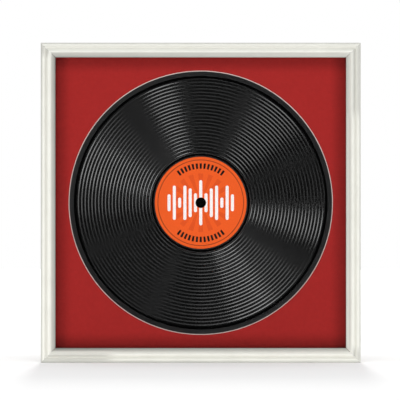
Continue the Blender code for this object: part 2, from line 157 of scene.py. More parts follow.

# Painted shade over the paint: it lies on the outer edge and on the slope down to the mat.
# Each stop is (share of the moulding's width from outside, share of the lightness left).
PAINTED_SHADE = (
    (0.0, 0.74), (0.08, 0.82), (0.14, 1.0), (0.66, 1.0), (0.76, 0.78), (0.86, 0.66), (0.93, 0.56),
    (1.0, 0.40),
)

# How much weaker the painted shade is at the right edge and at the top than in the middle, and how
# much painted light brightens the bottom. The opposite edges differ as much the other way.
SHADE_WEAKER_RIGHT = 0.22
SHADE_WEAKER_UP = -0.10
PAINTED_LIGHT_DOWN = 0.035

# Painted shade and light that each rail adds, in the same stops. A side's shade has all its
# strength from SIDE_SOFT off the frame's middle, which is a share of the frame's half size.
TOP_SHADE = (
    (0.0, 1.0), (0.19, 1.07), (0.33, 0.93), (0.47, 1.13), (0.60, 1.0), (0.78, 0.92), (0.91, 1.10),
)
BOTTOM_SHADE = (
    (0.0, 0.79), (0.07, 0.88), (0.20, 1.04), (0.34, 0.93), (0.62, 1.08), (0.77, 1.06), (0.85, 0.84),
)
RIGHT_SHADE = (
    (0.0, 1.0), (0.07, 0.91), (0.18, 1.03), (0.34, 0.95), (0.50, 1.03), (0.76, 0.92), (0.85, 1.16),
)
LEFT_SHADE = (
    (0.0, 1.0), (0.07, 0.91), (0.18, 1.05), (0.34, 0.93), (0.50, 1.03), (0.69, 1.07), (0.78, 1.0),
)
SIDE_SOFT = 0.01

# Darker at some rail ends, in the same stops. Each end is (side in x, side in z, distance
# from the rail's end at which it starts to fade, distance at which it has gone, strength). It
# has all its strength from GREYED_SOFT off the frame's middle.
GREYED = (
    (0.03, 1.0), (0.17, 0.69), (0.31, 1.0), (0.45, 0.67), (0.62, 0.95), (0.75, 1.12), (0.87, 0.85),
    (1.0, 0.92),
)
GREYED_ACROSS = ((-1, -1, 0.066, 0.090, 1.0), (1, 1, 0.018, 0.030, 0.28))
GREYED_UPRIGHT = (
    (1, 1, 0.072, 0.092, 1.0), (-1, 1, 0.009, 0.020, 1.0), (1, -1, 0.010, 0.022, 1.0),
)
GREYED_SOFT = 0.01

# Painted shade on the card: darker near the sight edge, where the lip shades it, and by CARD_FADE at
# the foot
CARD_SHADED = 0.69
CARD_SHADED_SPAN = (0.005, 0.019)
CARD_FADE = 0.07

# Textures: the share that the scale of brush strokes and grain has along the rail, their own
# scales, those of linen threads and hardboard fibres along and across, the weave's share in
# the card's mottle, and the pitch of the record's fine turns
ALONG_RAIL = 0.03
BRUSH_SCALE = 1700.0
GRAIN_SCALE = 420.0
GRAIN_RELIEF = 3.0
THREAD_ALONG = 170.0
THREAD_ACROSS = 1700.0
WEAVE_SHARE = 0.6
FIBRE_ALONG = 420.0
FIBRE_ACROSS = 1100.0
TURN_PITCH = 0.00023

# Roughness of each finish from its smoothest to its roughest, and what the bare wood, the
# record's rim and lands, and its ridges add
PAINT_ROUGH = (0.34, 0.46)
VINYL_ROUGH = (0.06, 0.10)
PAPER_ROUGH = (0.5, 0.64)
HARDBOARD_ROUGH = (0.5, 0.75)
CLEAR_ROUGH = (0.03, 0.09)
BARE_ROUGHER = 0.38
DULL_ROUGHER = 0.29
CUT_ROUGHER = 0.085

# Glazing: what passes straight on, its index of refraction, and its gloss seen edge on
CLEAR_TINT = (0.998, 1.0, 1.0)
CLEAR_INDEX = 1.45
CLEAR_GLOSS = 0.35

# Scales of the noises: blotches in paint, ragged paint edge, flecks in the card's core and in
# grey board, clouds in the card, dust, handling and wear on the record, paper fibre, specks in
# hardboard, and smears on the glazing
CREAM_SCALE = 38.0
RAGGED_SCALE = 900.0
CORE_SCALE = 1500.0
PULP_SCALE = 700.0
CARD_SCALE = 260.0
DUST_SCALE = 120.0
HANDLED_SCALE = 45.0
WEAR_SCALE = 300.0
PAPER_SCALE = 2600.0
SPECK_SCALE = 900.0
SMEAR_SCALE = 14.0

# The part of a noise that is stretched over its whole range: in clouds, mottle, brush strokes in
# the groove's painted shade and where they shine, grain, weave, flecks, dust, fibres and smears
NOISE_MIDDLE = (0.3, 0.7)
MOTTLE = (0.35, 0.65)
STROKES_SHADING = (0.2, 0.8)
STROKES_SHINING = (0.25, 0.75)
GRAIN_LINES = (0.35, 0.68)
WEAVE = (0.75, 1.25)
CORE_FLECKS = (0.45, 0.8)
PULP_FLECKS = (0.5, 0.75)
RUBBER_DUST = (0.4, 0.75)
DUST = (0.45, 0.75)
FIBRES = (0.35, 0.7)
SMEARS = (0.35, 0.7)

# How strong wear on the record's turns and specks in hardboard are, from least to most
WEAR = (0.5, 1.0)
SPECKS = (0.4, 1.0)

# Depths of the fine relief
PAINT_RELIEF = 0.00003
TURN_RELIEF = 0.0000002
PAPER_RELIEF = 0.00001
HARDBOARD_RELIEF = 0.00006

# Faces look to the back or to the front where their normal's share that way passes these
TO_BACK = 1.0
TO_FRONT = -1.0
FACING = (0.4, 0.6)

# Colours, linear
WHITE = (1.0, 1.0, 1.0)
CREAM = (0.83, 0.83, 0.765)
CREAM_DEEP = (0.79, 0.79, 0.725)
# Painted shade in the groove, and the dark of the mitre joints
SHADE_AND_JOINT_TINT = (0.64, 0.63, 0.56)
PINE = (0.60, 0.42, 0.24)
PINE_DARK = (0.42, 0.26, 0.12)
RED = (0.425, 0.0245, 0.0220)
RED_DEEP = (0.360, 0.0200, 0.0190)
CORE_WHITE = (0.695, 0.575, 0.54)
CORE_SHADE = (0.61, 0.50, 0.465)
BLACK = (0.0004, 0.0004, 0.0005)
BLACK_WARM = (0.0009, 0.0008, 0.0008)
# Greyer vinyl for the rim and lands: a painted sheen
BLACK_SHEEN = (0.014, 0.014, 0.0145)
ORANGE = (0.885, 0.124, 0.0190)
ORANGE_DEEP = (0.74, 0.090, 0.0155)
PRINT_WHITE = (0.97, 0.96, 0.95)
# Black of the print, and of the painted shade round the label's hole
INK_AND_SHADE_BLACK = (0.010, 0.010, 0.010)
HARDBOARD = (0.30, 0.175, 0.085)
HARDBOARD_DARK = (0.17, 0.095, 0.045)
# A black face, near-black as painted shade seen through the spindle hole
BLACK_FACE_AND_SHADE = (0.0012, 0.0012, 0.0012)
GREY_BOARD = (0.43, 0.42, 0.39)
GREY_FLECK = (0.30, 0.29, 0.26)
YELLOW_ZINC = (0.66, 0.56, 0.32)
ROSE_ZINC = (0.60, 0.50, 0.42)
ZINC = (0.62, 0.63, 0.64)
ZINC_DULL = (0.46, 0.47, 0.49)
RUBBER = (0.035, 0.034, 0.033)
RUBBER_DUSTY = (0.075, 0.073, 0.070)
FLOOR_COLOUR = (0.90, 0.90, 0.90)

# Studio: a dome that is dark where the flat faces would mirror it. Its ring has sectors, each
# (middle, half width, level), on a low ground. Edge angles are measured off the camera's axis.
DOME_BACK = 0.70
DOME_SIDE = 0.85
DOME_CENTRE = 0.015
DOME_TILT_LEFT = 0.02
RING_LOW = 0.06
RING_SECTORS = (
    (45, 22, 0.80), (190, 13, 0.80), (261, 17, 0.80), (137, 42, 0.12), (317, 42, 0.12),
    (124, 6, 0.52), (304, 6, 0.52), (328, 6, 0.52), (148, 6, 0.52),
)
RING_SOFT = 6
CENTRE_EDGE_ANGLES = (11, 16)
RING_EDGE_ANGLES = (38, 52)
BACK_EDGE_ANGLES = (88, 105)
FLOOR_SIZE = 16.0

# A large soft lamp in front that shiny surfaces don't mirror
FRONT_LAMP_PLACE = (0.0, -2.0, -0.75)
FRONT_LAMP_RADIUS = 1.7
FRONT_LAMP_RADIANCE = 1.05

# Two lights that fall on the floor alone: a sun that leans towards the camera's side, and behind
# the frame a tall narrow lamp, so that the frame's shadow fades out towards the camera.
# The lamp's height and half sizes are angles seen from the frame's foot.
FLOOR_SUN_LEAN = 35.0
FLOOR_SUN_WIDTH = 20.0
FLOOR_SUN_STRENGTH = 0.81
STRIP_DISTANCE = 20.0
STRIP_HEIGHT = 24.0
STRIP_HALF_WIDTH = 1.7
STRIP_HALF_LENGTH = 16.0
STRIP_RADIANCE = 63.5

# Oval lamps that draw the sheen on the ridges: direction round the record from +X, half their
# width round the record, half their length across it, and radiance
SHEEN_LAMPS = (
    (48.5, 0.08, 0.12, 4.9),
    (109.5, 0.045, 0.13, 9.0),
    (144, 0.08, 0.11, 2.1),
    (160, 0.075, 0.11, 7.6),
    (174.5, 0.08, 0.11, 3.2),
    (280, 0.08, 0.11, 1.5),
    (296, 0.075, 0.11, 7.6),
    (311, 0.085, 0.11, 4.0),
    (348.5, 0.045, 0.13, 9.0),
)

# Where they stand and aim, from the record's middle, and how wide their light spreads. They
# aim at their own side and spread little, or they would light the far side's ridges too.
SHEEN_ASIDE = 0.36
SHEEN_AHEAD = 0.36
SHEEN_AIM = 0.10
SHEEN_SPREAD = 37

# Places that follow from the frame
outer_half = cad_high.x
rail_low, rail_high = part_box("bottom_rail")
moulding_width = rail_high.z - rail_low.z
sight_half = outer_half - moulding_width
mat_low, mat_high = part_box("mat_board")
record_low, record_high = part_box("record")
label_low, label_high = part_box("record_label_front")
back_label_low, back_label_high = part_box("record_label_back")
record_centre_y = (record_low.y + record_high.y) / 2
record_radius = record_high.x
label_radius = label_high.x
collar_end = label_radius + LABEL_COLLAR
gutter_end = label_radius + LABEL_GUTTER
grooves_start = gutter_end + LABEL_LAND
rim_start = record_radius - RIM_WIDTH
grooves_end = rim_start - RIM_GUTTER


def bore_radius(node):
    """How near to the frame's axis a node's own points come."""
    return min(math.hypot(v.co.x, v.co.z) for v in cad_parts[node].data.vertices)


class Nodes:
    """Adds nodes to one tree. Each call gives the new node's output socket."""

    def __init__(self, tree):
        self.tree = tree

    def fill(self, socket, value):
        """Links the socket to a value that is a socket too, or else sets it."""
        if isinstance(value, bpy.types.NodeSocket):
            self.tree.links.new(value, socket)
        elif isinstance(value, tuple) and len(value) == 3 and socket.type == "RGBA":
            socket.default_value = (*value, 1.0)
        else:
            socket.default_value = value

    def add(self, kind, values=(), output=0, **settings):
        node = self.tree.nodes.new(kind)
        for name, value in settings.items():
            setattr(node, name, value)
        for place, value in values:
            self.fill(node.inputs[place], value)
        return node.outputs[output]

    def math(self, operation, *values):
        return self.add("ShaderNodeMath", enumerate(values), operation=operation)

    def plus(self, first, second):
        return self.math("ADD", first, second)

    def minus(self, first, second):
        return self.math("SUBTRACT", first, second)

    def times(self, first, second):
        return self.math("MULTIPLY", first, second)

    def greater(self, first, second):
        return self.math("MAXIMUM", first, second)

    def size(self, value):
        return self.math("ABSOLUTE", value)

    def length(self, across, up):
        return self.math("SQRT", self.plus(self.times(across, across), self.times(up, up)))

    def direction(self, across, up):
        return self.math("DEGREES", self.math("ARCTAN2", up, across))

    def off_middle(self, value, step):
        """How far the value lies from the middle of its step."""
        return self.size(self.minus(self.math("MODULO", value, step), step / 2))

    def vector_math(self, operation, *values):
        return self.add("ShaderNodeVectorMath", enumerate(values), operation=operation)

    def place(self, scale=(1, 1, 1)):
        coordinates = self.add("ShaderNodeTexCoord", output="Object")
        return self.vector_math("MULTIPLY", coordinates, scale)

    def normal(self):
        return self.add("ShaderNodeTexCoord", output="Normal")

    def split(self, vector):
        self.add("ShaderNodeSeparateXYZ", [(0, vector)])
        return self.tree.nodes[-1].outputs[:3]

    def noise(self, scale, detail=2.0):
        values = [("Vector", self.place()), ("Scale", scale), ("Detail", detail)]
        return self.add("ShaderNodeTexNoise", values)

    def strands(self, scales, detail):
        """A noise with a scale of its own in x, y and z."""
        values = [("Vector", self.place(scales)), ("Scale", 1.0), ("Detail", detail)]
        return self.add("ShaderNodeTexNoise", values)

    def cloudy(self, scale, low=0.0, high=1.0, detail=3.0):
        """A noise that wanders from low to high."""
        return self.span(self.noise(scale, detail), *NOISE_MIDDLE, low, high)

    def span(self, value, low, high, to_low=0.0, to_high=1.0, smooth=False):
        """value's way from low to high, as the way from to_low to to_high, and no further."""
        kind = "SMOOTHSTEP" if smooth else "LINEAR"
        values = [(0, value), (1, low), (2, high), (3, to_low), (4, to_high)]
        return self.add("ShaderNodeMapRange", values, interpolation_type=kind)

    def inside(self, value, low, high, soft):
        """1 where value lies between low and high, with soft edges."""
        enters = self.span(value, low - soft, low + soft)
        leaves = self.span(value, high - soft, high + soft, 1.0, 0.0)
        return self.times(enters, leaves)

    def ramp(self, value, stops):
        """The value's place among the stops, joined by straight lines."""
        level = stops[0][1]
        for (low, first), (high, second) in zip(stops, stops[1:]):
            level = self.plus(level, self.span(value, low, high, 0.0, second - first))
        return level

    def mix(self, factor, first, second):
        """A mix of two colours, whose sockets are the node's seventh and eighth."""
        values = [(0, factor), (6, first), (7, second)]
        return self.add("ShaderNodeMix", values, output=2, data_type="RGBA")

    def scaled(self, colour, value):
        return self.add("ShaderNodeVectorMath", [(0, colour), ("Scale", value)], operation="SCALE")

    def bump(self, height, distance):
        return self.add("ShaderNodeBump", [("Distance", distance), ("Height", height)])


# Materials

def new_material(name, specular=0.5):
    made = bpy.data.materials.new(name)
    made.use_nodes = True
    shader = made.node_tree.nodes["Principled BSDF"]
    shader.inputs["Specular IOR Level"].default_value = specular
    return made, Nodes(made.node_tree), shader


def dressed(name, colour, roughness, height, distance, metallic=0.0, specular=0.5):
    """A material from three functions of its Nodes: colour, roughness and height."""
    made, nodes, shader = new_material(name, specular)
    shader.inputs["Metallic"].default_value = metallic
    nodes.fill(shader.inputs["Base Color"], colour(nodes))
    nodes.fill(shader.inputs["Roughness"], roughness(nodes))
    nodes.fill(shader.inputs["Normal"], nodes.bump(height(nodes), distance))
    return made


def mottled(scale, first, second, part=MOTTLE):
    return lambda nodes: nodes.mix(nodes.span(nodes.noise(scale, 3.0), *part), first, second)


def varied(scale, low, high):
    return lambda nodes: nodes.cloudy(scale, low, high)


def grainy(scale, detail=3.0):
    return lambda nodes: nodes.noise(scale, detail)


def edge_distance(nodes):
    """How far a point of the moulding lies inward of the outer edge."""
    x, _, z = nodes.split(nodes.place())
    return nodes.minus(outer_half, nodes.greater(nodes.size(x), nodes.size(z)))


def mitre_distance(nodes):
    x, _, z = nodes.split(nodes.place())
    return nodes.size(nodes.minus(nodes.size(x), nodes.size(z)))


def facing(nodes, way):
    """1 on faces that look to the back or to the front."""
    return nodes.span(nodes.times(nodes.split(nodes.normal())[1], way), *FACING)


def bare_wood_mask(nodes):
    """1 on the back and in the rebate, where the paint stops with a ragged edge."""
    inward = edge_distance(nodes)
    ragged = nodes.cloudy(RAGGED_SCALE, -PAINT_RAGGED, PAINT_RAGGED)
    clear_of_edge = nodes.span(nodes.plus(inward, ragged), *PAINT_WRAP)
    back = nodes.times(facing(nodes, TO_BACK), clear_of_edge)
    rebate = moulding_width * REBATE_SHARE
    in_rebate = nodes.span(inward, rebate - REBATE_SOFT, rebate)
    depth = nodes.split(nodes.place())[1]
    behind_lip = nodes.span(depth, *(mat_low.y - ahead for ahead in LIP_PAINTED))
    return nodes.greater(back, nodes.times(in_rebate, behind_lip))


def greyed_ends(nodes, upright):
    """Where it is darker, near some of the rails' ends."""
    x, _, z = nodes.split(nodes.place())
    mask = 0.0
    for x_side, z_side, low, high, strength in GREYED_UPRIGHT if upright else GREYED_ACROSS:
        sideways = nodes.times(x, x_side)
        upwards = nodes.times(z, z_side)
        along, aside = (upwards, sideways) if upright else (sideways, upwards)
        from_end = nodes.minus(outer_half, along)
        end = nodes.span(from_end, low, high, strength, 0.0, smooth=True)
        mask = nodes.greater(mask, nodes.times(end, nodes.span(aside, 0.0, GREYED_SOFT)))
    return mask


def shaded(nodes, paint, inward, stops, mask):
    """The paint, with what the stops leave of it across the moulding where the mask is 1."""
    change = nodes.ramp(inward, [(share * moulding_width, left - 1.0) for share, left in stops])
    return nodes.scaled(paint, nodes.math("MULTIPLY_ADD", change, mask, 1.0))


def shading_distance(nodes, upright):
    """The distance from the outer edge at which the shading of a point is looked up."""
    inward = edge_distance(nodes)
    if upright:
        return inward
    height = nodes.split(nodes.place())[2]
    low, high = (share * moulding_width for share in GROOVE_SHIFT_FADE)
    shift = nodes.span(inward, low, high, GROOVE_SHIFT / outer_half, 0.0)
    return nodes.math("MULTIPLY_ADD", height, shift, inward)


def brushed_paint(nodes, upright, brush):
    """Cream paint with painted shade and light across it, its mitre lines and its darker ends."""
    inward = shading_distance(nodes, upright)
    paint = nodes.mix(nodes.cloudy(CREAM_SCALE), CREAM, CREAM_DEEP)
    # Painted shade in the groove between the beads, patchy with the brush strokes
    groove = nodes.inside(
        inward,
        moulding_width * (GROOVE_SHARE - GROOVE_SPREAD_SHARE),
        moulding_width * (GROOVE_SHARE + GROOVE_SPREAD_SHARE),
        moulding_width * GROOVE_SPREAD_SHARE,
    )
    groove_shade = nodes.times(groove, nodes.span(brush, *STROKES_SHADING, *GROOVE_SHADE_STRENGTH))
    paint = nodes.mix(groove_shade, paint, SHADE_AND_JOINT_TINT)
    mitre = nodes.span(mitre_distance(nodes), *MITRE_SPAN, MITRE_INK, 0.0)
    paint = nodes.mix(mitre, paint, SHADE_AND_JOINT_TINT)
    share = 1 / outer_half
    x, _, z = nodes.split(nodes.place((share, share, share)))
    # Painted shade, weaker at the right and stronger at the top, and painted light at the bottom
    shade_weaker = nodes.plus(nodes.times(z, SHADE_WEAKER_UP), nodes.times(x, SHADE_WEAKER_RIGHT))
    paint = shaded(nodes, paint, inward, PAINTED_SHADE, nodes.minus(1.0, shade_weaker))
    paint = nodes.scaled(paint, nodes.math("MULTIPLY_ADD", z, -PAINTED_LIGHT_DOWN, 1.0))
    aside, first, second = (x, RIGHT_SHADE, LEFT_SHADE) if upright else (z, TOP_SHADE, BOTTOM_SHADE)
    for side, stops in ((1, first), (-1, second)):
        here = nodes.span(nodes.times(aside, side), 0.0, SIDE_SOFT)
        paint = shaded(nodes, paint, inward, stops, here)
    return shaded(nodes, paint, inward, GREYED, greyed_ends(nodes, upright))


def moulding_material(name, upright):
    """Satin paint brushed along the rail, and bare pine behind."""
    made, nodes, shader = new_material(name, specular=0.4)
    stretch = (1.0, 1.0, ALONG_RAIL) if upright else (ALONG_RAIL, 1.0, 1.0)
    brush = nodes.strands(tuple(BRUSH_SCALE * share for share in stretch), detail=4.0)
    grain = nodes.strands(tuple(GRAIN_SCALE * share for share in stretch), detail=5.0)
    wood = nodes.mix(nodes.span(grain, *GRAIN_LINES), PINE, PINE_DARK)
    bare = bare_wood_mask(nodes)
    paint = brushed_paint(nodes, upright, brush)
    nodes.fill(shader.inputs["Base Color"], nodes.mix(bare, paint, wood))
    satin = nodes.span(brush, *STROKES_SHINING, *PAINT_ROUGH)
    nodes.fill(shader.inputs["Roughness"], nodes.plus(satin, nodes.times(bare, BARE_ROUGHER)))
    relief = nodes.plus(brush, nodes.times(nodes.times(grain, bare), GRAIN_RELIEF))
    nodes.fill(shader.inputs["Normal"], nodes.bump(relief, PAINT_RELIEF))
    return made


def core_face(nodes):
    """The card's pale core, with painted shade at the foot of the cut, where it meets the record."""
    pale = mottled(CORE_SCALE, CORE_WHITE, CORE_SHADE, CORE_FLECKS)(nodes)
    x, _, z = nodes.split(nodes.place())
    foot = bore_radius("mat_board")
    low, high = (foot + step for step in CUT_SHADED_SPAN)
    # Painted shade at the foot of the cut
    kept = nodes.span(nodes.length(x, z), low, high, CUT_SHADED, 1.0, smooth=True)
    return nodes.scaled(pale, kept)


def linen(nodes):
    """The weave of a linen emboss: long threads one way over long threads the other way."""
    across = nodes.strands((THREAD_ALONG, THREAD_ALONG, THREAD_ACROSS), detail=2.0)
    upright = nodes.strands((THREAD_ACROSS, THREAD_ALONG, THREAD_ALONG), detail=2.0)
    return nodes.plus(across, upright)


def red_face(nodes):
    """Red paper with painted shade: a little darker downwards and towards the lip on all four sides.
    """
    weave = nodes.times(nodes.span(linen(nodes), *WEAVE), WEAVE_SHARE)
    clouds = nodes.times(nodes.cloudy(CARD_SCALE), 1 - WEAVE_SHARE)
    red = nodes.mix(nodes.plus(weave, clouds), RED_DEEP, RED)
    x, _, z = nodes.split(nodes.place())
    # Painted shade: darker towards the foot, and near the lip on each side
    depth = nodes.span(z, -sight_half, sight_half, 1.0 - CARD_FADE, 1.0)
    for across in (x, z):
        inward = nodes.minus(sight_half, nodes.size(across))
        kept = nodes.span(inward, *CARD_SHADED_SPAN, CARD_SHADED, 1.0, smooth=True)
        depth = nodes.times(depth, kept)
    return nodes.scaled(red, depth)


def grey_face(nodes):
    """Grey board with a black face in front, near-black as painted shade behind the spindle hole."""
    grey = mottled(PULP_SCALE, GREY_BOARD, GREY_FLECK, PULP_FLECKS)(nodes)
    return nodes.mix(facing(nodes, TO_FRONT), grey, BLACK_FACE_AND_SHADE)


def vinyl_material():
    """Black vinyl, duller on the rim and lands than on the ridges, and greyer there: painted sheen."""
    made, nodes, shader = new_material("black_vinyl")
    x, _, z = nodes.split(nodes.place())
    radius = nodes.length(x, z)
    # Duller rim and lands, whose greyer base colour is a painted sheen
    dull_and_sheen = nodes.span(radius, rim_start, rim_start + EDGE_ROUND)
    for low, high in ((label_radius - EDGE_ROUND, collar_end), (gutter_end, grooves_start)):
        dull_and_sheen = nodes.greater(dull_and_sheen, nodes.inside(radius, low, high, EDGE_ROUND / 2))
    dust = nodes.span(nodes.noise(DUST_SCALE, detail=4.0), *DUST)
    black = nodes.mix(dull_and_sheen, nodes.mix(dust, BLACK, BLACK_WARM), BLACK_SHEEN)
    nodes.fill(shader.inputs["Base Color"], black)
    cut = nodes.inside(radius, grooves_start, grooves_end, EDGE_ROUND)
    handled = nodes.cloudy(HANDLED_SCALE, *VINYL_ROUGH)
    rough = nodes.plus(handled, nodes.times(dull_and_sheen, DULL_ROUGHER))
    rough = nodes.plus(rough, nodes.times(cut, CUT_ROUGHER))
    nodes.fill(shader.inputs["Roughness"], rough)
    turns = nodes.math("SINE", nodes.times(radius, 2 * math.pi / TURN_PITCH))
    worn = nodes.times(turns, nodes.cloudy(WEAR_SCALE, *WEAR, detail=2.0))
    nodes.fill(shader.inputs["Normal"], nodes.bump(worn, TURN_RELIEF))
    return made


def ray_mask(nodes, radius, turn):
    """Rays of a sunburst round the middle of the label."""
    step = 360.0 / RAY_COUNT
    phase = nodes.off_middle(nodes.plus(turn, 360.0), step)
    rays = nodes.span(phase, *(step * share for share in RAY_SHARES), 1.0, 0.0)
    return nodes.times(rays, nodes.inside(radius, *RAY_RING, PRINT_SOFT))


def bar_mask(nodes, x, z):
    """A row of upright bars with round ends, whose height swings from one to the next."""
    aside = nodes.size(x)
    nearest = nodes.math("ROUND", nodes.math("DIVIDE", aside, BAR_PITCH_SHARE))
    count = nodes.math("MINIMUM", nearest, float(BAR_COUNT))
    from_bar = nodes.minus(aside, nodes.times(count, BAR_PITCH_SHARE))
    swing = nodes.times(nodes.math("COSINE", nodes.times(count, BAR_RHYTHM)), BAR_SWING_SHARE)
    reach = nodes.minus(nodes.plus(swing, BAR_MEAN_SHARE), nodes.times(count, BAR_FALL_SHARE))
    past_end = nodes.greater(nodes.minus(nodes.size(z), reach), 0.0)
    half_width = BAR_WIDTH_SHARE / 2
    from_core = nodes.length(from_bar, past_end)
    return nodes.span(from_core, half_width - PRINT_SOFT, half_width + PRINT_SOFT, 1.0, 0.0)


def tick_mask(nodes, radius, turn):
    """Short marks in two arcs, above and below the bars."""
    step = 360.0 / TICK_COUNT
    phase = nodes.off_middle(nodes.plus(turn, 360.0 + step / 2), step)
    half = step * TICK_SHARE / 2
    ticks = nodes.span(phase, half - TICK_SOFT, half + TICK_SOFT, 1.0, 0.0)
    from_upright = nodes.size(nodes.minus(nodes.size(turn), 90.0))
    ends = (TICK_ARC - TICK_ARC_SOFT, TICK_ARC + TICK_ARC_SOFT)
    ticks = nodes.times(ticks, nodes.span(from_upright, *ends, 1.0, 0.0))
    return nodes.times(ticks, nodes.inside(radius, *TICK_RING, PRINT_SOFT))


def label_material():
    """Printed paper: a sunburst, a row of level bars, two arcs of marks, painted shade round the hole.
    """
    made, nodes, shader = new_material("orange_paper", specular=0.12)
    share = 1.0 / label_radius
    x, _, z = nodes.split(nodes.place((share, share, share)))
    radius = nodes.length(x, z)
    turn = nodes.direction(x, z)
    fibre = nodes.cloudy(PAPER_SCALE)
    inks = nodes.mix(nodes.times(fibre, FIBRE_INK), ORANGE, ORANGE_DEEP)
    inks = nodes.mix(nodes.times(ray_mask(nodes, radius, turn), RAY_INK), inks, ORANGE_DEEP)
    inks = nodes.mix(bar_mask(nodes, x, z), inks, PRINT_WHITE)
    hairline = nodes.times(nodes.inside(radius, *HAIRLINE_RING, PRINT_SOFT), HAIRLINE_INK)
    marks = nodes.greater(tick_mask(nodes, radius, turn), hairline)
    # Painted shade round the hole, in the print's black
    hole = share * (bore_radius("record_label_front") + HOLE_SHADE)
    marks = nodes.greater(marks, nodes.span(radius, hole - PRINT_SOFT / 2, hole, 1.0, 0.0))
    nodes.fill(shader.inputs["Base Color"], nodes.mix(marks, inks, INK_AND_SHADE_BLACK))
    nodes.fill(shader.inputs["Roughness"], nodes.span(fibre, 0.0, 1.0, *PAPER_ROUGH))
    nodes.fill(shader.inputs["Normal"], nodes.bump(fibre, PAPER_RELIEF))
    return made


def board_material():
    """Hardboard with pressed fibres behind and a black face in front, near-black as painted shade."""
    made, nodes, shader = new_material("brown_board", specular=0.1)
    fibres = nodes.strands((FIBRE_ALONG, FIBRE_ALONG, FIBRE_ACROSS), detail=5.0)
    specks = nodes.cloudy(SPECK_SCALE, *SPECKS, detail=2.0)
    blend = nodes.times(nodes.span(fibres, *FIBRES), specks)
    brown = nodes.mix(blend, HARDBOARD, HARDBOARD_DARK)
    nodes.fill(shader.inputs["Base Color"], nodes.mix(facing(nodes, TO_FRONT), brown, BLACK_FACE_AND_SHADE))
    nodes.fill(shader.inputs["Roughness"], nodes.span(fibres, *NOISE_MIDDLE, *HARDBOARD_ROUGH))
    nodes.fill(shader.inputs["Normal"], nodes.bump(fibres, HARDBOARD_RELIEF))
    return made


def glazing_material():
    """Clear acrylic with a thin anti-glare gloss. Its faces pass most light straight on."""
    made = bpy.data.materials.new("clear_acrylic")
    made.use_nodes = True
    tree = made.node_tree
    tree.nodes.remove(tree.nodes["Principled BSDF"])
    nodes = Nodes(tree)
    clear = nodes.add("ShaderNodeBsdfTransparent", [("Color", CLEAR_TINT)])
    smears = nodes.span(nodes.noise(SMEAR_SCALE, detail=4.0), *SMEARS, *CLEAR_ROUGH)
    gloss = nodes.add("ShaderNodeBsdfGlossy", [("Color", WHITE), ("Roughness", smears)])
    fresnel = nodes.add("ShaderNodeFresnel", [("IOR", CLEAR_INDEX)])
    share = nodes.span(fresnel, 0.0, 1.0, 0.0, CLEAR_GLOSS)
    surface = nodes.add("ShaderNodeMixShader", [(0, share), (1, clear), (2, gloss)])
    nodes.fill(tree.nodes["Material Output"].inputs["Surface"], surface)
    return made


moulding_across = moulding_material("painted_wood_across", upright=False)
moulding_upright = moulding_material("painted_wood_upright", upright=True)
black_vinyl = vinyl_material()
orange_paper = label_material()
brown_board = board_material()
clear_acrylic = glazing_material()
red_card = dressed(
    "red_card", red_face, varied(500.0, low=0.72, high=0.88),
    height=linen, distance=0.00004, specular=0.14,
)
card_core = dressed(
    "card_core", core_face, varied(800.0, low=0.8, high=0.95),
    height=grainy(2500.0), distance=0.00002, specular=0.2,
)
grey_board = dressed(
    "grey_board", grey_face, varied(400.0, low=0.82, high=0.95),
    height=grainy(1200.0, detail=4.0), distance=0.00004, specular=0.0,
)
plated_steel = dressed(
    "plated_steel", mottled(260.0, YELLOW_ZINC, ROSE_ZINC), varied(700.0, low=0.26, high=0.42),
    height=grainy(2200.0), distance=0.000006, metallic=1.0,
)
steel = dressed(
    "steel", mottled(600.0, ZINC, ZINC_DULL), varied(900.0, low=0.24, high=0.40),
    height=grainy(2600.0), distance=0.000006, metallic=1.0,
)
soft_rubber = dressed(
    "soft_rubber", mottled(500.0, RUBBER, RUBBER_DUSTY, RUBBER_DUST),
    varied(600.0, low=0.62, high=0.82), height=grainy(1800.0), distance=0.00003,
)


# Meshes

def smoothed(mesh):
    mesh.shade_smooth()
    mesh.set_sharp_from_angle(angle=math.radians(SHARP_ANGLE))
    return mesh


def round_at(radius, turn):
    return radius * math.cos(turn), radius * math.sin(turn)


def square_at(half, turn):
    reach = half / max(abs(math.cos(turn)), abs(math.sin(turn)))
    return reach * math.cos(turn), reach * math.sin(turn)


def turned_mesh(name, section):
    """A closed section turned about the frame's axis. Each point is (size, y), or
    (size, y, slot, outline) where what follows it takes another slot, or its turn isn't round."""
    points = [(*point, 0, round_at) if len(point) == 2 else point for point in section]
    verts = []
    for step in range(FINE_STEPS):
        turn = 2 * math.pi * step / FINE_STEPS
        for size, y, _, outline in points:
            x, z = outline(size, turn)
            verts.append((x, y, z))
    count = len(points)
    faces = []
    slots = []
    for step in range(FINE_STEPS):
        here = step * count
        there = (step + 1) % FINE_STEPS * count
        for i in range(count):
            j = (i + 1) % count
            faces.append((here + i, there + i, there + j, here + j))
            slots.append(points[i][2])
    mesh = bpy.data.meshes.new(name)
    mesh.from_pydata(verts, [], faces)
    mesh.polygons.foreach_set("material_index", slots)
    shape = bmesh.new()
    shape.from_mesh(mesh)
    bmesh.ops.recalc_face_normals(shape, faces=shape.faces)
    shape.to_mesh(mesh)
    shape.free()
    return smoothed(mesh)


def add_piece(name, mesh, finishes, body, slot, *nodes):
    """A piece on a body that stands for the CAD nodes named."""
    obj = bpy.data.objects.new(name, mesh)
    bpy.context.scene.collection.objects.link(obj)
    for finish in finishes:
        mesh.materials.append(finish)
    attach(obj, body)
    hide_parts(*nodes)


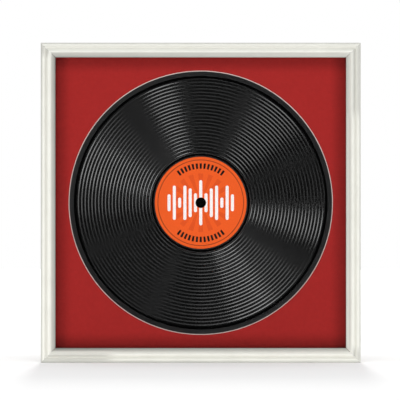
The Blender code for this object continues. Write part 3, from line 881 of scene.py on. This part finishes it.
def finish_node(name, finish, edge):
    """A CAD node with its finish, its edges softened and its curves shaded smooth."""
    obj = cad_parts[name]
    mesh = obj.data
    for i in range(len(mesh.materials)):
        mesh.materials[i] = finish
    if "custom_normal" in mesh.attributes:
        mesh.attributes.remove(mesh.attributes["custom_normal"])
    mesh.shade_smooth()
    weld = obj.modifiers.new("weld", "WELD")
    weld.merge_threshold = WELD_DISTANCE
    flats = obj.modifiers.new("flats", "DECIMATE")
    flats.decimate_type = "DISSOLVE"
    flats.angle_limit = math.radians(FLAT_ANGLE)
    bevel = obj.modifiers.new("edges", "BEVEL")
    bevel.width = edge
    bevel.segments = BEVEL_SEGMENTS
    bevel.limit_method = "ANGLE"
    bevel.angle_limit = math.radians(SHARP_ANGLE)
    bevel.use_clamp_overlap = True
    normals = obj.modifiers.new("normals", "WEIGHTED_NORMAL")
    normals.weight = NORMAL_WEIGHT


# Record and mat

def ridge_points(first, pitch):
    """Even waves from the inner land to the outer gutter, as (radius, level)."""
    points = []
    for step in range(RIDGE_COUNT * RIDGE_STEPS + 1):
        turns = step / RIDGE_STEPS
        rise = RIDGE_HEIGHT * (1 + math.cos(2 * math.pi * (turns - FIRST_CREST_SHARE))) / 2
        points.append((first + turns * pitch, RECORD_WEB / 2 + rise))
    return points


def record_section():
    """The record's section from its hole outwards along the front and back along the rear."""
    top = (record_high.y - record_low.y) / 2
    floor = RECORD_WEB / 2
    seat = record_centre_y - label_high.y
    hole = SPINDLE_HOLE / 2
    land = floor + LAND_RISE
    edge = EDGE_ROUND
    front = [
        (hole, seat - edge), (hole + edge, seat), (collar_end, seat), (collar_end, floor),
        (gutter_end, floor), (gutter_end + edge / 2, land - edge / 3), (gutter_end + edge, land),
        (grooves_start - edge, land),
    ]
    front += ridge_points(grooves_start, (grooves_end - grooves_start) / RIDGE_COUNT)
    front += [(grooves_end, floor), (rim_start, floor), (rim_start + edge / 3, top - RIM_CROWN - edge)]
    for step in range(CROWN_STEPS + 1):
        way = 2 * step / CROWN_STEPS - 1
        radius = rim_start + edge + (RIM_WIDTH - 2 * edge) * step / CROWN_STEPS
        front.append((radius, top - RIM_CROWN * way * way))
    front += [(record_radius - edge / 3, top - RIM_CROWN - edge / 3), (record_radius, top - 2 * edge)]
    rear = [
        (record_radius, 2 * edge - top), (record_radius - edge, -top), (rim_start, -top),
        (rim_start, -land), (gutter_end, -land), (gutter_end, -floor), (label_radius, -floor),
        (label_radius, -seat), (hole + edge, -seat), (hole, edge - seat),
    ]
    return [(radius, record_centre_y - level) for radius, level in front + rear]


def add_record():
    disc = turned_mesh("record_disc", record_section())
    add_piece("record_disc", disc, [black_vinyl], "frame", "black_vinyl", "record")
    for name, low, high in (
        ("record_label_front", label_low, label_high),
        ("record_label_back", back_label_low, back_label_high),
    ):
        hole = bore_radius(name)
        edge = LABEL_EDGE
        section = [
            (hole, low.y + edge), (hole + edge, low.y), (label_radius - edge, low.y),
            (label_radius, low.y + edge), (label_radius, high.y - edge),
            (label_radius - edge, high.y), (hole + edge, high.y), (hole, high.y - edge),
        ]
        paper = turned_mesh(f"{name}_print", section)
        add_piece(f"{name}_print", paper, [orange_paper], "frame", "orange_paper", name)


def add_mat():
    """The sheet with its round window: red face, white core on the cut and behind."""
    small = bore_radius("mat_board")
    large = small + mat_high.y - mat_low.y
    half = mat_high.x
    front, back = mat_low.y, mat_high.y
    edge = MAT_EDGE
    section = [
        (small, back, 1, round_at),
        (large - MAT_PAPER_TURN, front + MAT_PAPER_TURN, 0, round_at),
        (large, front + edge / 4, 0, round_at),
        (large + edge, front, 0, round_at),
        (half - edge, front, 0, square_at),
        (half, front + edge, 1, square_at),
        (half, back - edge, 1, square_at),
        (half - edge, back, 1, square_at),
    ]
    sheet = turned_mesh("window_mat", section)
    add_piece("window_mat", sheet, [red_card, card_core], "frame", "red_card", "mat_board")


add_mat()
add_record()
for name in ("bottom_rail", "top_rail"):
    finish_node(name, moulding_across, RAIL_EDGE)
for name in ("left_stile", "right_stile"):
    finish_node(name, moulding_upright, RAIL_EDGE)
finish_node("glazing", clear_acrylic, BOARD_EDGE)
finish_node("backing_board", brown_board, BOARD_EDGE)
finish_node("record_carrier", grey_board, BOARD_EDGE)
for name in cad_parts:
    if name.startswith(("turn_button_", "hanger_strap_", "hanger_ring_")):
        finish_node(name, plated_steel, METAL_EDGE)
    elif name.startswith(("button_screw_", "hanger_screw_", "v_nail_")):
        finish_node(name, steel, METAL_EDGE)
    elif name.startswith("bumper_"):
        finish_node(name, soft_rubber, SOFT_EDGE)


# Floor, dome, lamps and camera

def add_floor():
    mesh = bpy.data.meshes.new("floor")
    half = FLOOR_SIZE / 2
    level = cad_low.z
    corners = [(-half, -half, level), (half, -half, level), (half, half, level), (-half, half, level)]
    mesh.from_pydata(corners, [], [(0, 1, 2, 3)])
    pale, _, shader = new_material("pale_floor", specular=0.0)
    shader.inputs["Base Color"].default_value = (*FLOOR_COLOUR, 1.0)
    shader.inputs["Roughness"].default_value = 1.0
    mesh.materials.append(pale)
    floor = bpy.data.objects.new("floor", mesh)
    bpy.context.scene.collection.objects.link(floor)
    floor.visible_glossy = False
    return floor


def ring_level(nodes, turn):
    """The dome's ring, with its brighter sectors on the low ground."""
    ring = RING_LOW
    for middle, half_width, level in RING_SECTORS:
        apart = nodes.size(nodes.math("WRAP", nodes.minus(turn, middle), 180.0, -180.0))
        sector = nodes.span(
            apart, half_width - RING_SOFT, half_width + RING_SOFT, level - RING_LOW, 0.0,
            smooth=True,
        )
        ring = nodes.plus(ring, sector)
    return ring


def add_dome():
    """White to the camera. What lights the frame is bright at the sides, dim within a ring
    round the camera's direction, and dark in the middle of that ring."""
    world = bpy.data.worlds.new("studio")
    bpy.context.scene.world = world
    world.use_nodes = True
    tree = world.node_tree
    nodes = Nodes(tree)
    outwards = nodes.add("ShaderNodeTexCoord", output="Generated")
    x, y, z = nodes.split(nodes.vector_math("NORMALIZE", outwards))
    off_axis = nodes.math("DEGREES", nodes.math("ARCCOSINE", nodes.times(y, -1.0)))
    out_of_ring = nodes.span(off_axis, *RING_EDGE_ANGLES, smooth=True)
    ring = nodes.times(ring_level(nodes, nodes.direction(x, z)), nodes.minus(1.0, out_of_ring))
    level = nodes.math("MULTIPLY_ADD", out_of_ring, DOME_SIDE, ring)
    behind = nodes.span(off_axis, *BACK_EDGE_ANGLES, 0.0, DOME_BACK - DOME_SIDE, smooth=True)
    out_of_centre = nodes.span(off_axis, *CENTRE_EDGE_ANGLES, smooth=True)
    level = nodes.times(nodes.plus(level, behind), out_of_centre)
    level = nodes.greater(level, DOME_CENTRE)
    level = nodes.times(level, nodes.math("MULTIPLY_ADD", x, -DOME_TILT_LEFT, 1.0))
    dome = tree.nodes["Background"]
    nodes.fill(dome.inputs["Color"], WHITE)
    nodes.fill(dome.inputs["Strength"], level)
    white = nodes.add("ShaderNodeBackground", [("Color", WHITE), ("Strength", 1.0)])
    seen = nodes.add("ShaderNodeLightPath", output="Is Camera Ray")
    mixed = nodes.add("ShaderNodeMixShader", [(0, seen), (1, dome.outputs[0]), (2, white)])
    nodes.fill(tree.nodes["World Output"].inputs["Surface"], mixed)


def add_lamp(name, place, aim, half_width, half_length, radiance, width_turn=0.0):
    """An oval lamp. Its width lies along width_turn, an angle round the record in radians."""
    data = bpy.data.lights.new(name, "AREA")
    data.shape = "ELLIPSE"
    data.size = 2 * half_width
    data.size_y = 2 * half_length
    data.energy = radiance * math.pi * math.pi * half_width * half_length
    lamp = bpy.data.objects.new(name, data)
    away = (Vector(place) - Vector(aim)).normalized()
    width = Vector((math.cos(width_turn), 0, math.sin(width_turn)))
    length = away.cross(width).normalized()
    turned = Matrix((length.cross(away), length, away)).transposed().to_4x4()
    lamp.matrix_world = Matrix.Translation(place) @ turned
    lamp.visible_camera = False
    bpy.context.scene.collection.objects.link(lamp)
    return lamp


def lone_collection(name, obj, link_state="INCLUDE"):
    """A collection that a lamp's light or shade keeps to, or with EXCLUDE leaves out."""
    made = bpy.data.collections.new(name)
    made.objects.link(obj)
    made.collection_objects[0].light_linking.link_state = link_state
    return made


def let_through(lamp, floor):
    """The floor doesn't shade what the lamp lights."""
    shaders = lone_collection(f"{lamp.name}_shaders", floor, "EXCLUDE")
    lamp.light_linking.blocker_collection = shaders


def add_front_lamp(floor):
    """The soft lamp, which leaves out the record."""
    aim = (0, record_centre_y, 0)
    half = FRONT_LAMP_RADIUS
    lamp = add_lamp("front", FRONT_LAMP_PLACE, aim, half, half, FRONT_LAMP_RADIANCE)
    lamp.visible_glossy = False
    let_through(lamp, floor)
    others = lone_collection("all_but_record", bpy.data.objects["record_disc"], "EXCLUDE")
    lamp.light_linking.receiver_collection = others


def add_floor_lights(floor):
    data = bpy.data.lights.new("above", "SUN")
    data.angle = math.radians(FLOOR_SUN_WIDTH)
    data.energy = FLOOR_SUN_STRENGTH
    sun = bpy.data.objects.new("above", data)
    sun.rotation_euler = (math.radians(FLOOR_SUN_LEAN), 0, 0)
    bpy.context.scene.collection.objects.link(sun)
    height = math.radians(STRIP_HEIGHT)
    foot = Vector((0, 0, cad_low.z))
    place = foot + STRIP_DISTANCE * Vector((0, math.cos(height), math.sin(height)))
    half_width = STRIP_DISTANCE * math.tan(math.radians(STRIP_HALF_WIDTH))
    half_length = STRIP_DISTANCE * math.tan(math.radians(STRIP_HALF_LENGTH))
    strip = add_lamp("behind", place, foot, half_width, half_length, STRIP_RADIANCE)
    lit = lone_collection("floor_alone", floor)
    for light in (sun, strip):
        light.light_linking.receiver_collection = lit


def add_sheen_lamps(floor):
    """Small lamps that light the record's gloss alone. A narrower spread would brighten a lamp
    of the same power, so each keeps only the share that holds its radiance."""
    lit = lone_collection("record_alone", bpy.data.objects["record_disc"])
    half_spread = math.radians(SHEEN_SPREAD / 2)
    kept = 1 - half_spread / math.tan(half_spread)
    for count, (turn, half_width, half_length, radiance) in enumerate(SHEEN_LAMPS):
        x, z = round_at(SHEEN_ASIDE, math.radians(turn))
        aim_x, aim_z = round_at(SHEEN_AIM, math.radians(turn))
        place = (x, record_centre_y - SHEEN_AHEAD, z)
        aim = (aim_x, record_centre_y, aim_z)
        across = math.radians(turn + 90)
        lamp = add_lamp(
            f"sheen_{count}", place, aim, half_width, half_length, radiance * kept, across
        )
        lamp.data.spread = 2 * half_spread
        lamp.visible_diffuse = False
        lamp.light_linking.receiver_collection = lit
        let_through(lamp, floor)


def add_camera():
    """Straight on, placed so that the frame's centre falls on its pixel in the photograph."""
    data = bpy.data.cameras.new("camera")
    data.sensor_width = MM_PER_METRE * SENSOR_WIDTH
    data.lens = MM_PER_METRE * SENSOR_WIDTH * CAMERA_DISTANCE / (PIXELS * PIXEL_SIZE)
    data.clip_end = 4 * CAMERA_DISTANCE
    camera = bpy.data.objects.new("camera", data)
    across = (PIXELS / 2 - FRAME_CENTRE_PIXEL[0]) * PIXEL_SIZE
    up = (FRAME_CENTRE_PIXEL[1] - PIXELS / 2) * PIXEL_SIZE
    camera.location = (across, cad_low.y - CAMERA_DISTANCE, up)
    camera.rotation_euler = (math.radians(90), 0, 0)
    bpy.context.scene.collection.objects.link(camera)
    bpy.context.scene.camera = camera


floor = add_floor()
add_dome()
add_front_lamp(floor)
add_floor_lights(floor)
add_sheen_lamps(floor)
add_camera()
bpy.context.scene.view_settings.view_transform = "Standard"
